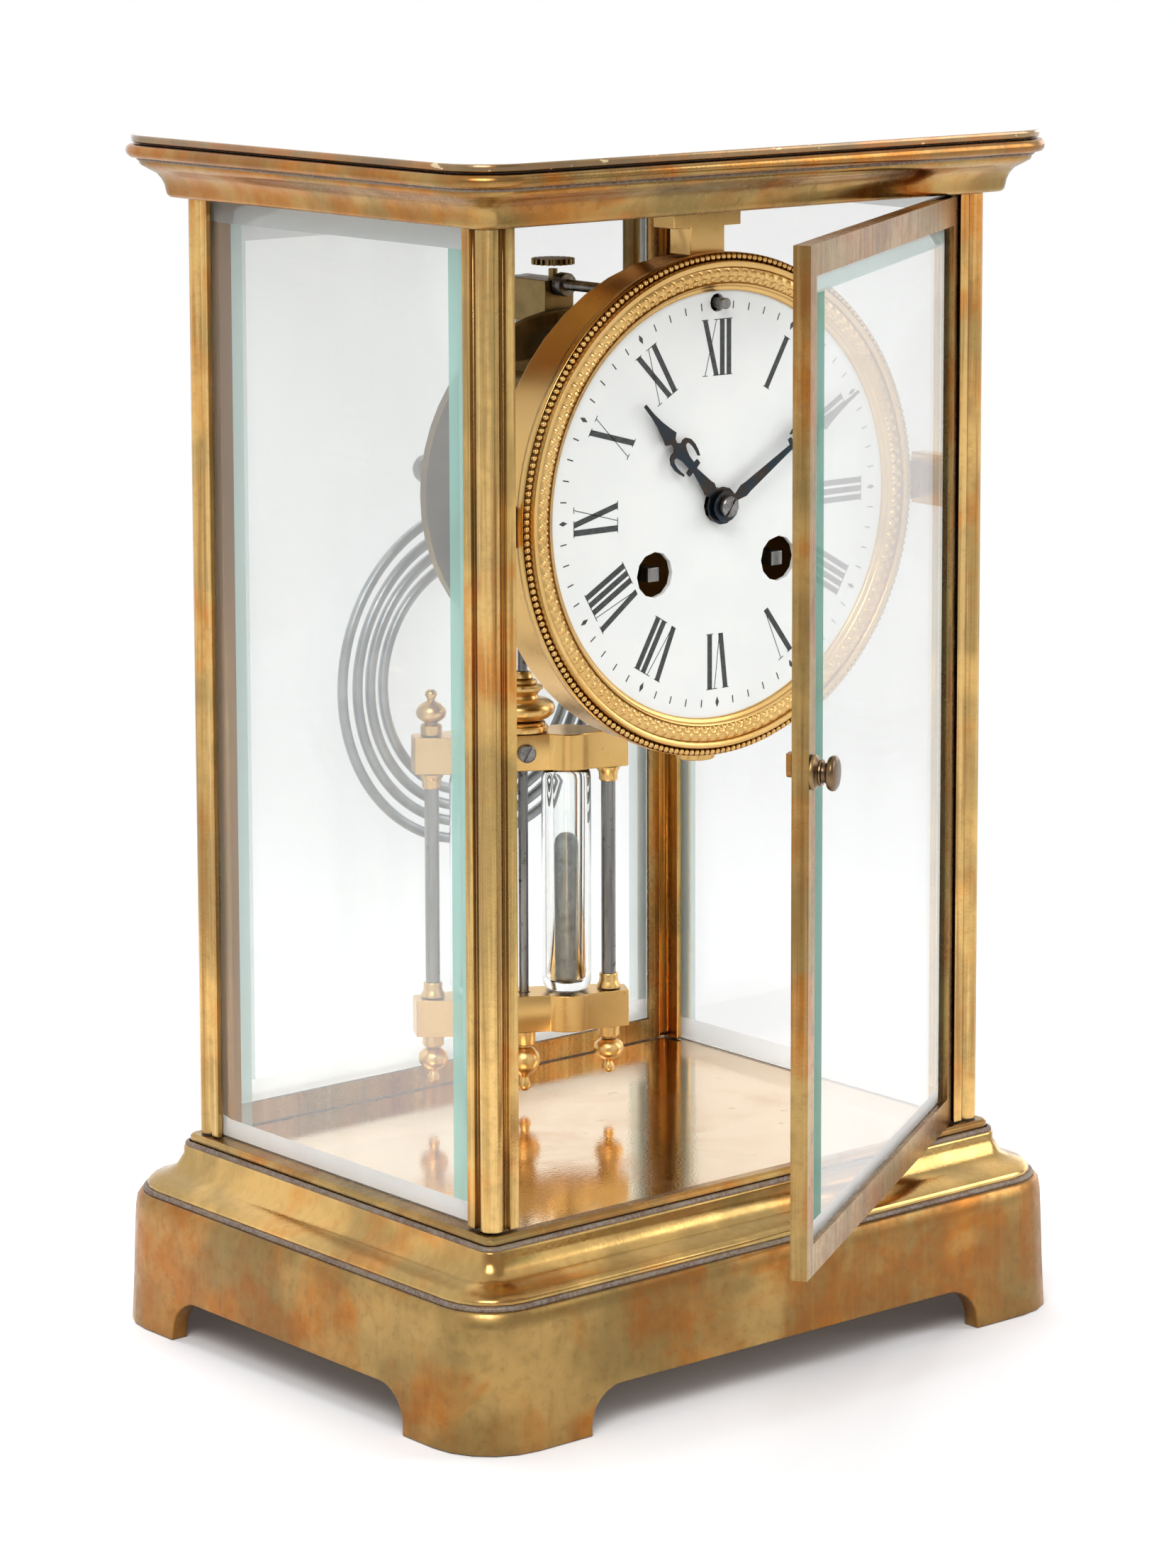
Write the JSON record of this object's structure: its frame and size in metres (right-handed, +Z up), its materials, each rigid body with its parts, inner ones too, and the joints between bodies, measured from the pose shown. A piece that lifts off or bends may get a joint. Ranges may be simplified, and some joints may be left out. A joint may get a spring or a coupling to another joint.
{
  "type": "regulator clock",
  "caption": "Four-glass mantel regulator clock: brass case with hinged glazed doors, white enamel dial, striking movement with coiled gong, and a swinging mercury-jar pendulum.",
  "frame": {"origin": "on the ground, under the middle of the clock's footprint with its front door standing open as in the picture", "axes": "+Z up, the dial faces -Y, +X to the right of someone who reads the dial"},
  "size_m": [0.168, 0.1868, 0.2599],
  "materials": {
    "toned_brass": "aged, unevenly toned",
    "gilt_brass": "satin gilt",
    "floor_brass": "polished",
    "dark_brass": "dull, dark with age",
    "bronze": "dark bronze",
    "steel": "dull grey",
    "blued_steel": "blued",
    "gong_steel": "blue-grey scale",
    "enamel": "glossy white enamel on metal",
    "glass": "clear, polished, bevelled edges",
    "mercury": "bright liquid metal"
  },
  "bodies": {
    "case": {"base_plinth": "toned_brass", "base_moulding": "toned_brass", "floor_plate": "floor_brass", "pillar_front_left": "toned_brass", "pillar_front_right": "toned_brass", "pillar_rear_left": "toned_brass", "pillar_rear_right": "toned_brass", "cornice_cove": "toned_brass", "cornice_torus": "toned_brass", "top_plate": "toned_brass", "left_glass": "glass", "right_glass": "glass", "t_block": "gilt_brass", "left_arm": "gilt_brass", "right_arm": "gilt_brass", "hanger_post": "dark_brass", "dial_pan": "gilt_brass", "enamel_dial": "enamel", "bezel": "gilt_brass", "bezel_nut": "gilt_brass", "front_plate": "dark_brass", "back_plate": "dark_brass", "suspension_bracket": "dark_brass", "suspension_spring": "steel", "gong_coil": "gong_steel", "gong_stand": "dark_brass"},
    "front_door": {"front_door_frame": "toned_brass", "front_door_glass": "glass"},
    "front_knob": {"front_door_knob": "bronze", "front_door_catch": "toned_brass"},
    "rear_door": {"rear_door_frame": "toned_brass", "rear_door_glass": "glass"},
    "rear_knob": {"rear_door_knob": "bronze", "rear_door_catch": "toned_brass"},
    "minute": {"minute_hand": "blued_steel", "hand_nut": "blued_steel", "centre_wheel": "steel"},
    "hour": {"hour_hand": "blued_steel"},
    "going_barrel": {"going_barrel": "dark_brass"},
    "going_winding": {"going_winding_arbor": "steel"},
    "strike_barrel": {"strike_barrel": "dark_brass"},
    "strike_winding": {"strike_winding_arbor": "steel"},
    "escape": {"escape_wheel": "dark_brass"},
    "anchor": {"anchor": "steel"},
    "regulator": {"regulator_arbor": "steel"},
    "crown": {"crown_wheel": "dark_brass"},
    "hammer": {"hammer": "steel"},
    "pendulum": {"pendulum_rod": "steel", "pendulum_knob": "gilt_brass", "upper_plate": "gilt_brass", "lower_plate": "gilt_brass", "left_side_rod": "steel", "right_side_rod": "steel", "left_vial": "glass", "right_vial": "glass", "left_mercury": "mercury", "right_mercury": "mercury", "rating_finial": "gilt_brass", "plate_screw": "steel"}
  },
  "joints": [
    {"name": "front_door_hinge", "type": "hinge", "parent": "case", "child": "front_door", "pos_m": [0.0596, -0.02256, 0.0417], "axis": [0, 0, 1], "range_deg": [-32.5, 65]},
    {"name": "front_knob_turn", "type": "hinge", "parent": "front_door", "child": "front_knob", "pos_m": [-0.03945, -0.08744, 0.1432], "axis": [0.5373, -0.8434, 0], "range_deg": [0, 90]},
    {"name": "rear_door_hinge", "type": "hinge", "parent": "case", "child": "rear_door", "pos_m": [-0.0596, 0.07711, 0.0417], "axis": [0, 0, 1], "range_deg": [0, 97]},
    {"name": "rear_knob_turn", "type": "hinge", "parent": "rear_door", "child": "rear_knob", "pos_m": [0.0588, 0.07861, 0.1432], "axis": [0, 1, 0], "range_deg": [0, 90]},
    {"name": "minute_turn", "type": "hinge", "parent": "case", "child": "minute", "pos_m": [0, -0.01476, 0.1838], "axis": [0, 1, 0], "continuous": true},
    {"name": "hour_turn", "type": "hinge", "parent": "case", "child": "hour", "pos_m": [0, -0.01476, 0.1838], "axis": [0, 1, 0], "continuous": true},
    {"name": "going_barrel_turn", "type": "hinge", "parent": "case", "child": "going_barrel", "pos_m": [0.0172, 0.03024, 0.1707], "axis": [0, 1, 0], "continuous": true},
    {"name": "going_winding_turn", "type": "hinge", "parent": "case", "child": "going_winding", "pos_m": [0.0172, 0.03024, 0.1707], "axis": [0, 1, 0], "continuous": true},
    {"name": "strike_barrel_turn", "type": "hinge", "parent": "case", "child": "strike_barrel", "pos_m": [-0.0172, 0.03024, 0.1707], "axis": [0, 1, 0], "continuous": true},
    {"name": "strike_winding_turn", "type": "hinge", "parent": "case", "child": "strike_winding", "pos_m": [-0.0172, 0.03024, 0.1707], "axis": [0, 1, 0], "continuous": true},
    {"name": "escape_turn", "type": "hinge", "parent": "case", "child": "escape", "pos_m": [0, 0.02824, 0.2034], "axis": [0, 1, 0], "continuous": true},
    {"name": "anchor_swing", "type": "hinge", "parent": "case", "child": "anchor", "pos_m": [0, 0.02824, 0.2152], "axis": [0, 1, 0], "range_deg": [-3, 3]},
    {"name": "pendulum_swing", "type": "hinge", "parent": "case", "child": "pendulum", "pos_m": [0, 0.05014, 0.2152], "axis": [0, 1, 0], "range_deg": [-3, 3]},
    {"name": "regulator_turn", "type": "hinge", "parent": "case", "child": "regulator", "pos_m": [0, -0.01776, 0.2263], "axis": [0, 1, 0], "continuous": true},
    {"name": "crown_turn", "type": "hinge", "parent": "case", "child": "crown", "pos_m": [0, 0.03904, 0.2292], "axis": [0, 0, 1], "continuous": true},
    {"name": "hammer_strike", "type": "hinge", "parent": "case", "child": "hammer", "pos_m": [0.0129, 0.03884, 0.18355], "axis": [0, -1, 0], "range_deg": [0, 15.5], "stiffness_Nm_per_rad": 0.004, "springref_deg": -17.19}
  ],
  "couplings": [
    {"joint": "hour_turn", "follows": "minute_turn", "ratio": 0.083333},
    {"joint": "going_barrel_turn", "follows": "minute_turn", "ratio": -0.2907},
    {"joint": "regulator_turn", "follows": "crown_turn", "ratio": 1.423},
    {"joint": "anchor_swing", "follows": "pendulum_swing", "ratio": 1}
  ]
}
